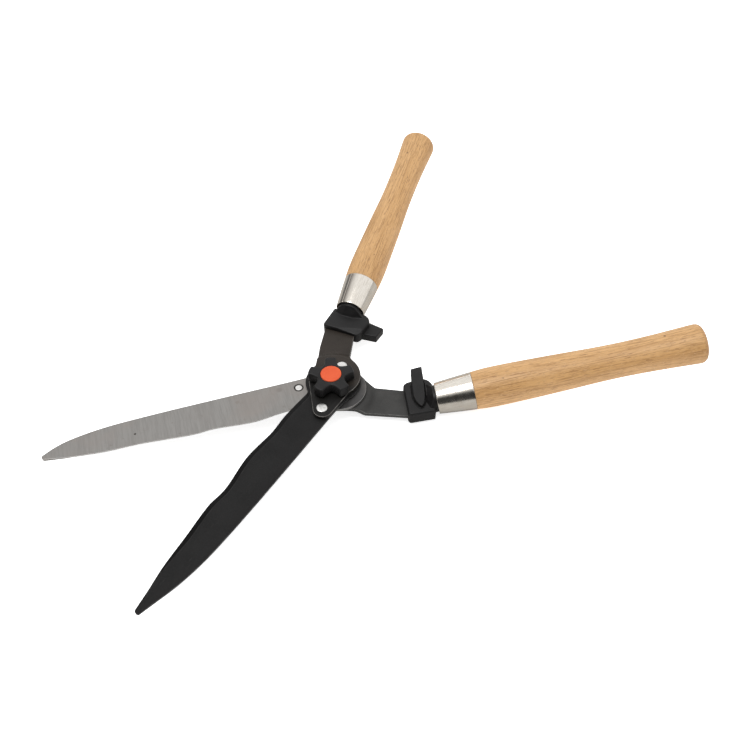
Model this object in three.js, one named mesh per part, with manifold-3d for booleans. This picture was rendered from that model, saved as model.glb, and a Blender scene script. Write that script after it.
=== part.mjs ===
// Hedge shears: two halves on one pivot bolt, clamped by a star knob.
// Each half is a blade riveted to a cranked arm, with a bumper, a ferrule and a wooden handle.
// Millimetres. +Z runs up the pivot axis, from the bolt head to the knob.
// The origin is the centre of the bolt head's flat end. Handles point to +X, blades to -X.
// Each half is drawn in its own frame, +X from blade to handle and the spine of the blade
// to +Y, and is then turned about the pivot. The upper half is the mirror image.
import * as THREE from 'three';
import { mergeVertices } from 'three/addons/utils/BufferGeometryUtils.js';
import Module from 'manifold-3d';

const wasm = await Module();
wasm.setup();

// Driving dimensions
const GAP = 0.3;
const HALF_OPENING = 20;
const ARM_THICK = 3.6;
const BLADE_THICK = 2.6;
const BOLT_HEAD_HEIGHT = 4.0;
const BOLT_RADIUS = 4.0;
const THREAD_END_DEPTH = 0.5;

// Heights above the bolt head's flat end, stacked from below
const LOWER_FLANGE = BOLT_HEAD_HEIGHT + GAP;
const LOWER_BLADE = LOWER_FLANGE + ARM_THICK + GAP;
const MATING_PLANE = LOWER_BLADE + BLADE_THICK;
const UPPER_BLADE = MATING_PLANE + GAP;
const UPPER_FLANGE = UPPER_BLADE + BLADE_THICK + GAP;
const UPPER_FLANGE_TOP = UPPER_FLANGE + ARM_THICK;

// Blade
const HEEL_DISC = { x: 5.5, y: -2, radius: 24 };
const BEVEL_WIDTH = 5.0;
const EDGE_THICK = 0.5;
const TIP = [-239.3, 1.2];
const TIP_RADIUS = 2.6;
const LOWER_SPINE = [[-3.5, 20.2], [-22, 17.8], [-85, 18], [-146, 18], [-190, 16.7], [-219, 12.4],
  [-233, 7.5]];
const LOWER_EDGE = [[-15.5, -13.8], [-46, -13.8], [-72, -16], [-104, -13], [-124, -13.3], [-164, -9.5],
  [-194, -8.5], [-224, -4.8]];
const UPPER_SPINE = [[-3.5, 20.2], [-22, 18], [-85, 17.6], [-142, 16.9], [-182, 15.2], [-209, 11.4],
  [-231, 5.7]];
const UPPER_EDGE = [[-15.5, -13.8], [-46, -15.4], [-67, -14.4], [-97, -16.3], [-129, -12.1],
  [-149, -13.3], [-178, -10.4], [-205, -7.9], [-226, -4]];

// Arm: a flat flange under or over the blade, a step down round the heel, then a flat shank
const FRONT_RIVET = [-27.2, 8.8];
const REAR_RIVET = [20.8, -3.2];
const NOSE = { x: -27.8, y: 10.2, radius: 8.4 };
const FLANGE_DISC = { x: 7.7, y: -4, radius: 24.3 };
const STEP_DOWN = 4.8;
const STEP_START = 25.2;
const STEP_END = 32.2;
const STEP_SETBACK = 1.2;
const SHANK_END = 72;

// Handle axis: it leaves the shank at the crank and climbs away from it
const FERRULE_START = [83.6, -35.7];
const LOWER_HANDLE_END = [303.3, -81.4];
const UPPER_HANDLE_END = [301.5, -88.1];
const HANDLE_RISE = 44.3;
const HANDLE_LENGTH = 228.5;
const FERRULE_LIFT = 4.75;
const FERRULE_LENGTH = 32.4;
const FERRULE_WALL = 1.0;
const FERRULE_RADII = [13.6, 16.4];
const TANG_WIDTH = 11;
const TANG_REACH = 82;

// Bumper block round the shank, and the peg that meets the other bumper's peg
const BLOCK_HALF_HEIGHT = 6.5;
const PEG_OFFSET = 4.85;
const PEG_HEIGHT = 8.2;
const COLLAR_RADIUS = 12.2;

// Rivets, washers and knob
const RIVET_RADIUS = 2.6;
const RIVET_HEAD_RADIUS = 4.6;
const RIVET_HEAD_DEPTH = 1.5;
const RIVET_CROWN = 0.5;
const WASHER_RADIUS = 10.4;
const WASHER_THICK = 1.2;
const SPRING_RADIUS = 7.6;
const SPRING_THICK = 1.5;
const KNOB_LOBES = 5;
const KNOB_RADIUS = 20.2;
const KNOB_HEIGHT = 9.6;
const KNOB_VALLEY = 12.4;
const KNOB_TURN = 55;
const CAP_RADIUS = 8.9;
const CAP_THICK = 1.9;
const CAP_PROUD = 0.5;
const NUT_CORNER_RADIUS = 7.5;

const FLAT_WASHER = UPPER_FLANGE_TOP + GAP;
const KNOB_BASE = FLAT_WASHER + WASHER_THICK + GAP;
const KNOB_TOP = KNOB_BASE + KNOB_HEIGHT;
const CAP_BASE = KNOB_TOP + CAP_PROUD - CAP_THICK;
const NUT_BASE = KNOB_BASE + SPRING_THICK + GAP;
const NUT_HEIGHT = CAP_BASE - GAP - NUT_BASE;

const ROUND = 32;

// ---- helpers ----

// A closed three.js geometry as a solid that can be cut and joined.
function solid(geometry) {
  const bare = geometry.clone();
  bare.deleteAttribute('normal');
  bare.deleteAttribute('uv');
  const merged = mergeVertices(bare, 1e-4);
  return new wasm.Manifold(new wasm.Mesh({
    numProp: 3,
    vertProperties: new Float32Array(merged.attributes.position.array),
    triVerts: new Uint32Array(merged.index.array),
  }));
}

function toGeometry(body) {
  const mesh = body.getMesh();
  const geometry = new THREE.BufferGeometry();
  geometry.setAttribute('position', new THREE.BufferAttribute(new Float32Array(mesh.vertProperties), 3));
  geometry.setIndex(new THREE.BufferAttribute(new Uint32Array(mesh.triVerts), 1));
  geometry.computeVertexNormals();
  return geometry;
}

// The mirror image across the XZ plane, with its triangles turned to face out again.
function mirrorY(geometry) {
  const copy = geometry.index ? geometry.clone() : mergeVertices(geometry, 1e-4);
  copy.scale(1, -1, 1);
  const index = copy.index.array;
  for (let i = 0; i < index.length; i += 3) {
    const keep = index[i];
    index[i] = index[i + 1];
    index[i + 1] = keep;
  }
  return copy;
}

// A solid of revolution about Z. The profile is [radius, height] pairs.
function turned(profile, segments = ROUND) {
  const points = profile.map(([r, z]) => new THREE.Vector2(r, z));
  return new THREE.LatheGeometry(points, segments).rotateX(Math.PI / 2);
}

function rod(radius, from, to, segments = ROUND) {
  return turned([[0, from], [radius, from], [radius, to], [0, to]], segments);
}

function ring(inner, outer, from, to) {
  return turned([[inner, from], [outer, from], [outer, to], [inner, to], [inner, from]]);
}

// A plate with the outline of a shape, between two heights.
function plate(shape, from, to, bevel = 0) {
  const geometry = new THREE.ExtrudeGeometry(shape, {
    depth: to - from - 2 * bevel,
    bevelEnabled: bevel > 0,
    bevelThickness: bevel,
    bevelSize: bevel,
    bevelOffset: -bevel,
    bevelSegments: 2,
    curveSegments: 6,
  });
  return geometry.translate(0, 0, from + bevel);
}

function polygon(points) {
  return new THREE.Shape(points.map(([x, y]) => new THREE.Vector2(x, y)));
}

// A closed skin through outlines that all have the same number of points.
function skin(outlines) {
  const count = outlines[0].points.length;
  const position = outlines.flatMap(({ points, z }) => points.flatMap((p) => [p.x, p.y, z]));
  const index = [];
  for (let k = 0; k + 1 < outlines.length; k += 1) {
    for (let i = 0; i < count; i += 1) {
      const a = k * count + i;
      const b = k * count + (i + 1) % count;
      index.push(a, b, b + count, a, b + count, a + count);
    }
  }
  const last = (outlines.length - 1) * count;
  for (const [a, b, c] of THREE.ShapeUtils.triangulateShape(outlines[0].points, [])) {
    index.push(a, c, b);
  }
  for (const [a, b, c] of THREE.ShapeUtils.triangulateShape(outlines.at(-1).points, [])) {
    index.push(last + a, last + b, last + c);
  }
  const geometry = new THREE.BufferGeometry();
  geometry.setAttribute('position', new THREE.Float32BufferAttribute(position, 3));
  geometry.setIndex(index);
  return geometry;
}

// ---- blades ----

function spline(points, steps) {
  return new THREE.SplineCurve(points.map(([x, y]) => new THREE.Vector2(x, y))).getPoints(steps);
}

// Points round the heel, from the spine's end to the cutting edge's end, through the handle side.
function heelArc(spineEnd, edgeEnd) {
  const { x, y, radius } = HEEL_DISC;
  const start = Math.atan2(spineEnd[1] - y, spineEnd[0] - x);
  const end = Math.atan2(edgeEnd[1] - y, edgeEnd[0] - x);
  return Array.from({ length: 29 }, (_, i) => {
    const angle = start + ((end - start) * (i + 1)) / 30;
    return new THREE.Vector2(x + Math.cos(angle) * radius, y + Math.sin(angle) * radius);
  });
}

// The outline runs clockwise seen from above: heel, cutting edge, tip, spine.
// The cutting edge moves in by the bevel, less where the blade is narrow.
function bladeOutline(spine, edge, bevel) {
  const edgePoints = spline(edge, 44).map((p) => {
    const room = Math.min(1, (p.x - TIP[0]) / 60);
    return new THREE.Vector2(p.x, p.y + bevel * room);
  });
  const tipPoints = [-100, -135, 180, 145].map((degrees) => {
    const angle = THREE.MathUtils.degToRad(degrees);
    const radius = TIP_RADIUS * (bevel > 0 ? 0.8 : 1);
    return new THREE.Vector2(TIP[0] + radius * Math.cos(angle), TIP[1] + radius * Math.sin(angle));
  });
  const spinePoints = spline(spine, 28).reverse();
  return [...heelArc(spine[0], edge[0]), ...edgePoints, ...tipPoints, ...spinePoints];
}

function bladeSkin(spine, edge, upper) {
  const full = bladeOutline(spine, edge, 0);
  const ground = bladeOutline(spine, edge, BEVEL_WIDTH);
  const levels = [[full, 0], [full, EDGE_THICK], [ground, BLADE_THICK]];
  if (upper) {
    const turnedRound = levels.map(([points, z]) => ({ points: [...points].reverse(), z }));
    return skin(turnedRound).translate(0, 0, UPPER_BLADE);
  }
  const flipped = levels.map(([points, z]) => ({ points: [...points].reverse(), z: -z })).reverse();
  return skin(flipped).translate(0, 0, MATING_PLANE);
}

// ---- rivets: flush at the mating face, crowned on the flange's outer face ----

function rivet([x, y], upper, grow = 0) {
  const flush = upper ? UPPER_BLADE : MATING_PLANE;
  const away = upper ? 1 : -1;
  const outer = upper ? UPPER_FLANGE_TOP : LOWER_FLANGE;
  const radius = RIVET_RADIUS + grow;
  const head = RIVET_HEAD_RADIUS + grow;
  const tall = RIVET_CROWN + grow;
  const start = flush - away * grow;
  const profile = [
    [0, start],
    [head, start],
    [head, flush + away * 0.2],
    [radius, flush + away * RIVET_HEAD_DEPTH],
    [radius, outer - away * RIVET_HEAD_DEPTH],
    [head, outer - away * 0.2],
    [head, outer + away * 0.1],
    [head * 0.6, outer + away * tall],
    [0, outer + away * tall],
  ];
  const ordered = upper ? profile : profile.reverse();
  return turned(ordered, 28).translate(x, y, 0);
}

function bladeGeometry(spine, edge, upper) {
  let body = solid(bladeSkin(spine, edge, upper));
  body = body.subtract(solid(rod(BOLT_RADIUS + GAP, 0, KNOB_BASE)));
  body = body.subtract(solid(rivet(FRONT_RIVET, upper, GAP)));
  body = body.subtract(solid(rivet(REAR_RIVET, upper, GAP)));
  return toGeometry(body);
}

// ---- arms ----

// Plan outline of flange and shank, anticlockwise from the spine side of the nose. The outer edge
// turns in where the bumper block covers it.
function armOutline(grow) {
  const inner = (x) => -6.7 - 0.47 * (x - 40) + grow;
  const outer = (x) => -38.2 - 0.415 * (x - 40) - grow;
  const end = SHANK_END + grow;
  const shape = new THREE.Shape();
  shape.absarc(NOSE.x, NOSE.y, NOSE.radius, Math.PI / 2, 3.95, false);
  shape.lineTo(-9.5, -17);
  shape.quadraticCurveTo(-4, -21.5, 6, outer(6));
  shape.lineTo(57, outer(57));
  shape.lineTo(end, -44 - grow);
  shape.lineTo(end, inner(end));
  shape.lineTo(37.5, inner(37.5));
  shape.quadraticCurveTo(33, -3, 31.3, 1.9);
  shape.absarc(FLANGE_DISC.x, FLANGE_DISC.y, FLANGE_DISC.radius, 0.245, 1.92, false);
  return shape;
}

// Space that the plate fills: flat ahead of the heel's centre, and behind it a dish that steps down
// outside the heel.
function armSection(flangeBase, grow) {
  const low = flangeBase - grow;
  const high = flangeBase + ARM_THICK + grow;
  const reach = 120;
  const dish = turned([
    [0, low], [STEP_START, low], [STEP_END, low - STEP_DOWN], [reach, low - STEP_DOWN],
    [reach, high - STEP_DOWN], [STEP_END + STEP_SETBACK, high - STEP_DOWN],
    [STEP_START + STEP_SETBACK, high], [0, high],
  ], 96);
  const behind = new THREE.BoxGeometry(reach, 2 * reach, 60).translate(reach / 2, 0, 0);
  const ahead = new THREE.BoxGeometry(reach, 2 * reach, high - low);
  ahead.translate(1 - reach / 2, 0, (high + low) / 2);
  return solid(dish).intersect(solid(behind)).add(solid(ahead)).translate(HEEL_DISC.x, HEEL_DISC.y, 0);
}

// Frame of the handle: its X axis is the handle's axis, from the ferrule's small end outwards.
function handleFrame(upper) {
  const low = shankMiddle(upper) + FERRULE_LIFT;
  const start = new THREE.Vector3(...FERRULE_START, low);
  const end = new THREE.Vector3(...(upper ? UPPER_HANDLE_END : LOWER_HANDLE_END), low + HANDLE_RISE);
  const axis = end.clone().sub(start).normalize();
  const side = new THREE.Vector3(0, 0, 1).cross(axis).normalize();
  const up = axis.clone().cross(side);
  return new THREE.Matrix4().makeBasis(axis, side, up).setPosition(start);
}

function tang(upper, grow) {
  const half = TANG_WIDTH / 2 + grow;
  const reach = TANG_REACH + grow;
  const shape = polygon([
    [-24, -half], [reach - 14, -half], [reach, -2], [reach, 2], [reach - 14, half], [-24, half],
  ]);
  const thick = ARM_THICK / 2 + grow;
  return plate(shape, -thick, thick).applyMatrix4(handleFrame(upper));
}

function shankMiddle(upper) {
  return (upper ? UPPER_FLANGE : LOWER_FLANGE) + ARM_THICK / 2 - STEP_DOWN;
}

function armSolid(upper, grow) {
  const base = upper ? UPPER_FLANGE : LOWER_FLANGE;
  const outline = plate(armOutline(grow), base - 20, base + 20);
  const bent = solid(outline).intersect(armSection(base, grow));
  return bent.add(solid(tang(upper, grow)));
}

function armGeometry(upper) {
  let body = armSolid(upper, 0);
  body = body.subtract(solid(rivet(FRONT_RIVET, upper, GAP)));
  body = body.subtract(solid(rivet(REAR_RIVET, upper, GAP)));
  const base = upper ? UPPER_FLANGE : LOWER_FLANGE;
  const hole = upper ? rod(BOLT_RADIUS + GAP, base - 1, base + ARM_THICK + 1)
    : squareNeck(GAP, base - 1, base + ARM_THICK + 1);
  return toGeometry(body.subtract(solid(hole)));
}

// ---- pivot bolt ----

function squareNeck(grow, from, to) {
  const side = 2 * (BOLT_RADIUS + grow);
  return new THREE.BoxGeometry(side, side, to - from).translate(0, 0, (from + to) / 2);
}

function boltGeometry() {
  const threadEnd = CAP_BASE - GAP - THREAD_END_DEPTH;
  const head = turned([
    [0, 0], [7, 0], [9.2, 0.8], [10.6, 2.2], [11, 3.4], [10.6, BOLT_HEAD_HEIGHT], [0, BOLT_HEAD_HEIGHT],
  ]);
  const shank = turned([
    [0, 1], [BOLT_RADIUS, 1], [BOLT_RADIUS, threadEnd - 1], [BOLT_RADIUS - 1, threadEnd], [0, threadEnd],
  ]);
  const neck = squareNeck(0, BOLT_HEAD_HEIGHT - 1, LOWER_BLADE - GAP);
  return toGeometry(solid(head).add(solid(neck)).add(solid(shank)));
}

// ---- bumper: one moulding, turned over on the upper half so that the pegs meet ----

function bumperGeometry(upper) {
  const mid = shankMiddle(upper);
  const block = new THREE.Shape();
  block.moveTo(60.5, -14.5);
  block.lineTo(55, -44);
  block.quadraticCurveTo(54.8, -46.8, 57.5, -47.2);
  block.lineTo(78, -49.4);
  block.lineTo(81.5, -42);
  block.lineTo(85.2, -26);
  block.quadraticCurveTo(87, -14.5, 79, -11.5);
  block.lineTo(66.5, -11.5);
  const pegBack = upper ? [[80, -34], [85, -16], [85.4, 0]] : [[77, -34], [79.5, -14], [82.8, 0]];
  const peg = polygon([[66, -30], ...pegBack, [72.6, 0], [68.4, -14.5]]);
  const rib = polygon([
    [64.3, -30], [64.8, -37], [67.7, -42.5], [70.5, -39], [74, -33], [79, -14], [68.4, -13],
  ]);
  const lift = upper ? -PEG_OFFSET : PEG_OFFSET;
  const pegLow = mid + lift - PEG_HEIGHT / 2;
  const pegHigh = mid + lift + PEG_HEIGHT / 2;
  const collar = rod(COLLAR_RADIUS, -1.6, 4).rotateY(Math.PI / 2).applyMatrix4(handleFrame(upper));
  let body = solid(plate(block, mid - BLOCK_HALF_HEIGHT, mid + BLOCK_HALF_HEIGHT, 1.2));
  body = body.add(solid(plate(peg, pegLow, pegHigh, 0.8)));
  body = body.add(solid(plate(rib, pegLow, pegHigh, 0.8)));
  body = body.add(solid(collar));
  return toGeometry(body.subtract(armSolid(upper, GAP)));
}

// ---- ferrule and wooden handle, turned about the handle's axis ----

function ferruleGeometry(upper) {
  const [small, large] = FERRULE_RADII;
  const profile = [
    [small - 0.6, 0], [small, 0.6], [large, FERRULE_LENGTH],
    [large - FERRULE_WALL, FERRULE_LENGTH], [small - FERRULE_WALL, 0], [small - 0.6, 0],
  ];
  return turned(profile).rotateY(Math.PI / 2).applyMatrix4(handleFrame(upper));
}

function woodProfile() {
  const [small, large] = FERRULE_RADII;
  const inside = FERRULE_WALL + GAP;
  const noseStart = 4.5;
  const noseRadius = small - inside + ((large - small) * noseStart) / FERRULE_LENGTH;
  const grip = spline([
    [large, FERRULE_LENGTH + GAP], [17.2, 46], [17.1, 66], [16.3, 100], [15, 138], [14.8, 165],
    [15.4, 190], [16.6, 214], [17, HANDLE_LENGTH - 6],
  ], 22).map((p) => [p.x, p.y]);
  return [
    [0, noseStart], [noseRadius, noseStart], [large - inside, FERRULE_LENGTH + GAP], ...grip,
    [16.4, HANDLE_LENGTH - 3.2], [14.6, HANDLE_LENGTH - 1.2], [11.2, HANDLE_LENGTH - 0.2],
    [0, HANDLE_LENGTH],
  ];
}

function handleGeometry(upper) {
  const wood = turned(woodProfile()).rotateY(Math.PI / 2).applyMatrix4(handleFrame(upper));
  return toGeometry(solid(wood).subtract(solid(tang(upper, GAP))));
}

// ---- washers and knob ----

function springWasherGeometry() {
  const from = KNOB_BASE;
  const to = KNOB_BASE + SPRING_THICK;
  const split = new THREE.BoxGeometry(8, 1.2, 2 * SPRING_THICK).translate(8, 0, (from + to) / 2);
  const body = solid(ring(BOLT_RADIUS + GAP, SPRING_RADIUS, from, to));
  return toGeometry(body.subtract(solid(split)));
}

function hexagon(radius) {
  return polygon(Array.from({ length: 6 }, (_, i) => {
    const angle = (i * Math.PI) / 3;
    return [radius * Math.cos(angle), radius * Math.sin(angle)];
  }));
}

function nutGeometry() {
  const hex = plate(hexagon(NUT_CORNER_RADIUS), NUT_BASE, NUT_BASE + NUT_HEIGHT);
  return toGeometry(solid(hex).subtract(solid(rod(BOLT_RADIUS + GAP, 0, KNOB_TOP + 5))));
}

// Star outline: square-ended lobes with hollow flanks between them.
function starShape() {
  const shape = new THREE.Shape();
  const step = (2 * Math.PI) / KNOB_LOBES;
  const at = (radius, angle) => [radius * Math.cos(angle), radius * Math.sin(angle)];
  shape.moveTo(...at(KNOB_VALLEY, -step / 2));
  for (let lobe = 0; lobe < KNOB_LOBES; lobe += 1) {
    const middle = lobe * step;
    shape.quadraticCurveTo(...at(13.4, middle - 0.4), ...at(KNOB_RADIUS - 1.6, middle - 0.28));
    shape.quadraticCurveTo(...at(KNOB_RADIUS + 0.4, middle - 0.27), ...at(KNOB_RADIUS, middle - 0.14));
    shape.lineTo(...at(KNOB_RADIUS, middle + 0.14));
    shape.quadraticCurveTo(...at(KNOB_RADIUS + 0.4, middle + 0.27), ...at(KNOB_RADIUS - 1.6, middle + 0.28));
    shape.quadraticCurveTo(...at(13.4, middle + 0.4), ...at(KNOB_VALLEY, middle + step / 2));
  }
  return shape;
}

function knobGeometry() {
  const star = plate(starShape(), KNOB_BASE, KNOB_TOP, 0.9);
  star.rotateZ(THREE.MathUtils.degToRad(KNOB_TURN));
  const washerSeat = rod(SPRING_RADIUS + GAP, KNOB_BASE - 1, NUT_BASE);
  const nutSeat = plate(hexagon(NUT_CORNER_RADIUS + GAP), NUT_BASE - 1, CAP_BASE);
  const capSeat = rod(CAP_RADIUS + GAP, CAP_BASE - GAP, KNOB_TOP + 1);
  let body = solid(star).subtract(solid(washerSeat));
  body = body.subtract(solid(nutSeat));
  return toGeometry(body.subtract(solid(capSeat)));
}

function capGeometry() {
  const top = CAP_BASE + CAP_THICK;
  return turned([
    [0, CAP_BASE], [CAP_RADIUS, CAP_BASE], [CAP_RADIUS, top - 0.7], [CAP_RADIUS - 0.7, top], [0, top],
  ]);
}

// ---- assembly ----

function finish(color, roughness, metalness) {
  return new THREE.MeshStandardMaterial({ color, roughness, metalness });
}

const groundSteel = finish(0x9b9692, 0.38, 0.9);
const blackSteel = finish(0x2d2b2b, 0.5, 0.4);
const armSteel = finish(0x56534f, 0.5, 0.6);
const brownSteel = finish(0x393430, 0.5, 0.5);
const brightSteel = finish(0xc9c6c4, 0.3, 0.9);
const nickel = finish(0xd8cfc2, 0.2, 1);
const wood = finish(0xcfa477, 0.6, 0);
const blackPlastic = finish(0x2b2a2b, 0.55, 0);
const orangePlastic = finish(0xee6a3e, 0.45, 0);

function named(name, geometry, material) {
  const mesh = new THREE.Mesh(geometry, material);
  mesh.name = name;
  return mesh;
}

// One half, in its own frame, then turned about the pivot.
function shearHalf(name, upper, spine, edge, bladeSteel, shankSteel) {
  const group = new THREE.Group();
  const handed = (geometry) => (upper ? mirrorY(geometry) : geometry);
  const add = (part, geometry, material) => {
    group.add(named(`${name}_${part}`, handed(geometry), material));
  };
  add('blade', bladeGeometry(spine, edge, upper), bladeSteel);
  add('arm', armGeometry(upper), shankSteel);
  add('front_rivet', rivet(FRONT_RIVET, upper), brightSteel);
  add('rear_rivet', rivet(REAR_RIVET, upper), brightSteel);
  add('bumper', bumperGeometry(upper), blackPlastic);
  add('ferrule', ferruleGeometry(upper), nickel);
  add('handle', handleGeometry(upper), wood);
  group.rotation.z = THREE.MathUtils.degToRad(upper ? HALF_OPENING : -HALF_OPENING);
  return group;
}

const shears = new THREE.Group();
const lowerHalf = shearHalf('lower', false, LOWER_SPINE, LOWER_EDGE, groundSteel, armSteel);
lowerHalf.add(named('pivot_bolt', boltGeometry(), brightSteel));
shears.add(lowerHalf);
shears.add(shearHalf('upper', true, UPPER_SPINE, UPPER_EDGE, blackSteel, brownSteel));
shears.add(named('flat_washer', ring(BOLT_RADIUS + GAP, WASHER_RADIUS, FLAT_WASHER,
  FLAT_WASHER + WASHER_THICK), brightSteel));
shears.add(named('spring_washer', springWasherGeometry(), brightSteel));
shears.add(named('star_knob', knobGeometry(), blackPlastic));
shears.add(named('knob_nut', nutGeometry(), brightSteel));
shears.add(named('knob_cap', capGeometry(), orangePlastic));

export default shears;
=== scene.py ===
# Hedge shears: detailed pieces, materials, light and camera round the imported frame.
import math

import bmesh
import bpy
from mathutils import Matrix, Vector


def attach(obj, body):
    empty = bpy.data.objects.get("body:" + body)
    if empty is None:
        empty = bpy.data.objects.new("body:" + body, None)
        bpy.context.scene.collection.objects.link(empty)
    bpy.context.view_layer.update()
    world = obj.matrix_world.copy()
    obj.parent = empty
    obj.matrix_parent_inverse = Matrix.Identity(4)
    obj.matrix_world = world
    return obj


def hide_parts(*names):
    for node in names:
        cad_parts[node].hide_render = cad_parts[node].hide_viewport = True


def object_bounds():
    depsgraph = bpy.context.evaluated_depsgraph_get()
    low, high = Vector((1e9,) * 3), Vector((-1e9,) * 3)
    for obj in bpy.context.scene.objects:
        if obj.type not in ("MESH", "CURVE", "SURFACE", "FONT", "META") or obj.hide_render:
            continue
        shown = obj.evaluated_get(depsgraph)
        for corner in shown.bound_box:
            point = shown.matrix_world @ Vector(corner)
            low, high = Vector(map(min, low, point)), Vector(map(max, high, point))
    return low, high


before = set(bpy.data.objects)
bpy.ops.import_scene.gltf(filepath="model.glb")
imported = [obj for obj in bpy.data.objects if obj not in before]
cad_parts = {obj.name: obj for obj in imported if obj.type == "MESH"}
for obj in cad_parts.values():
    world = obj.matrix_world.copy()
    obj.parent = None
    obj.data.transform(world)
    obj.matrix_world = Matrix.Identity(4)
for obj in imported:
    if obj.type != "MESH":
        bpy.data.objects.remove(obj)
cad_low, cad_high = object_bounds()

# ---- dimensions in millimetres, the same as the frame's ----

MM = 0.001
HALF_OPENING = math.radians(20)
ARM_THICK = 3.6
BLADE_THICK = 2.6
LOWER_FLANGE = 4.3
MATING_PLANE = 10.8
UPPER_BLADE = 11.1
UPPER_FLANGE = 14.0
FLAT_WASHER = 17.9
KNOB_BASE = 19.4
KNOB_TOP = 29.0
CAP_BASE = 27.6
HEEL = (5.5, -2.0, 24.0)
BEVEL_WIDTH = 5.0
TIP = (-239.3, 1.2)
TIP_RADIUS = 2.6
LOWER_SPINE = [(-3.5, 20.2), (-22, 17.8), (-85, 18), (-146, 18), (-190, 16.7), (-219, 12.4), (-233, 7.5)]
LOWER_EDGE = [(-15.5, -13.8), (-46, -13.8), (-72, -16), (-104, -13), (-124, -13.3), (-164, -9.5),
              (-194, -8.5), (-224, -4.8)]
UPPER_SPINE = [(-3.5, 20.2), (-22, 18), (-85, 17.6), (-142, 16.9), (-182, 15.2), (-209, 11.4), (-231, 5.7)]
UPPER_EDGE = [(-15.5, -13.8), (-46, -15.4), (-67, -14.4), (-97, -16.3), (-129, -12.1), (-149, -13.3),
              (-178, -10.4), (-205, -7.9), (-226, -4)]
FRONT_RIVET = (-27.2, 8.8)
REAR_RIVET = (20.8, -3.2)
NOSE = (-27.8, 10.2, 8.4)
FLANGE_DISC = (7.7, -4.0, 24.3)
STEP_DOWN = 4.8
STEP_START = 25.0
STEP_END = 32.4
STEP_SETBACK = 1.0
SHANK_END = 72.0
FERRULE_START = (83.6, -35.7)
LOWER_HANDLE_END = (303.3, -81.4)
UPPER_HANDLE_END = (301.5, -88.1)
HANDLE_RISE = 44.3
HANDLE_LENGTH = 228.5
FERRULE_LIFT = 4.75
FERRULE_LENGTH = 32.4
FERRULE_SMALL = 13.6
FERRULE_LARGE = 16.4
PIVOT_HOLE = 4.3
SQUARE_HOLE = 4.3
RIVET_HOLE = 2.95
BOLT_RADIUS = 3.97
THREAD_ROOT = 3.45
THREAD_PITCH = 1.25
KNOB_TIP = 20.2
KNOB_VALLEY = 12.4
KNOB_TURN = 55
CAP_SEAT = 9.15
BLOCK_HALF = 6.5
PEG_HALF = 4.1
PEG_LIFT = 4.85
COLLAR_RADIUS = 11.7
SLOT_GAP = 0.3


# ---- mesh helpers ----

def catmull_rom(points, steps):
    """Points along a uniform Catmull-Rom curve."""
    found = []
    last = len(points) - 1
    for k in range(steps + 1):
        at = last * k / steps
        i = min(int(at), last - 1)
        w = at - i
        a, b = points[max(i - 1, 0)], points[i]
        c, d = points[i + 1], points[min(i + 2, last)]
        point = []
        for p0, p1, p2, p3 in zip(a, b, c, d):
            v0, v1 = (p2 - p0) / 2, (p3 - p1) / 2
            point.append((2 * p1 - 2 * p2 + v0 + v1) * w ** 3 + (-3 * p1 + 3 * p2 - 2 * v0 - v1) * w ** 2
                         + v0 * w + p1)
        found.append(tuple(point))
    return found


def arc(x, y, radius, start, end, steps):
    angles = [start + (end - start) * k / steps for k in range(steps + 1)]
    return [(x + radius * math.cos(a), y + radius * math.sin(a)) for a in angles]


def quad_curve(a, b, c, steps):
    found = []
    for k in range(1, steps + 1):
        t = k / steps
        found.append(tuple((1 - t) ** 2 * p + 2 * t * (1 - t) * q + t * t * r for p, q, r in zip(a, b, c)))
    return found


def resample(points, spacing):
    """The closed outline again, with extra points where its sides are longer than the spacing."""
    found = []
    for k, a in enumerate(points):
        b = points[(k + 1) % len(points)]
        length = math.dist(a, b)
        if length < 1e-4:
            continue
        count = max(1, round(length / spacing))
        found += [(a[0] + (b[0] - a[0]) * i / count, a[1] + (b[1] - a[1]) * i / count) for i in range(count)]
    return found


def inset(points, amount):
    """The closed anticlockwise outline moved inwards. The amount may differ from point to point."""
    found = []
    count = len(points)
    amounts = amount if isinstance(amount, list) else [amount] * count
    for k in range(count):
        a, p, b = Vector(points[k - 1]), Vector(points[k]), Vector(points[(k + 1) % count])
        one, two = (p - a).normalized(), (b - p).normalized()
        along = (one + two).normalized()
        stretch = 1 / max(0.5, one.dot(along))
        inward = Vector((-along.y, along.x))
        found.append(tuple(p + inward * amounts[k] * stretch))
    return found


def level(points, z):
    heights = z if isinstance(z, list) else [z] * len(points)
    return [(x, y, h) for (x, y), h in zip(points, heights)]


def loft(bm, loops, tags=None, closed=False):
    """Joins loops of equal point counts, and caps the first and the last with a face."""
    wear_and_highlight = bm.verts.layers.float.get("wear_and_highlight") or bm.verts.layers.float.new("wear_and_highlight")
    ground = bm.verts.layers.float.get("ground") or bm.verts.layers.float.new("ground")
    rows = []
    for k, loop in enumerate(loops):
        row = [bm.verts.new(Vector(p) * MM) for p in loop]
        if tags:
            for v, (w, g) in zip(row, tags[k] if isinstance(tags[k], list) else [tags[k]] * len(row)):
                v[wear_and_highlight], v[ground] = w, g
        rows.append(row)
    pairs = list(zip(rows, rows[1:]))
    if closed:
        pairs.append((rows[-1], rows[0]))
    for low, high in pairs:
        for i, a in enumerate(low):
            j = (i + 1) % len(low)
            bm.faces.new((a, low[j], high[j], high[i]))
    if not closed:
        bm.faces.new(rows[0][::-1])
        bm.faces.new(rows[-1])
    return rows


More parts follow.
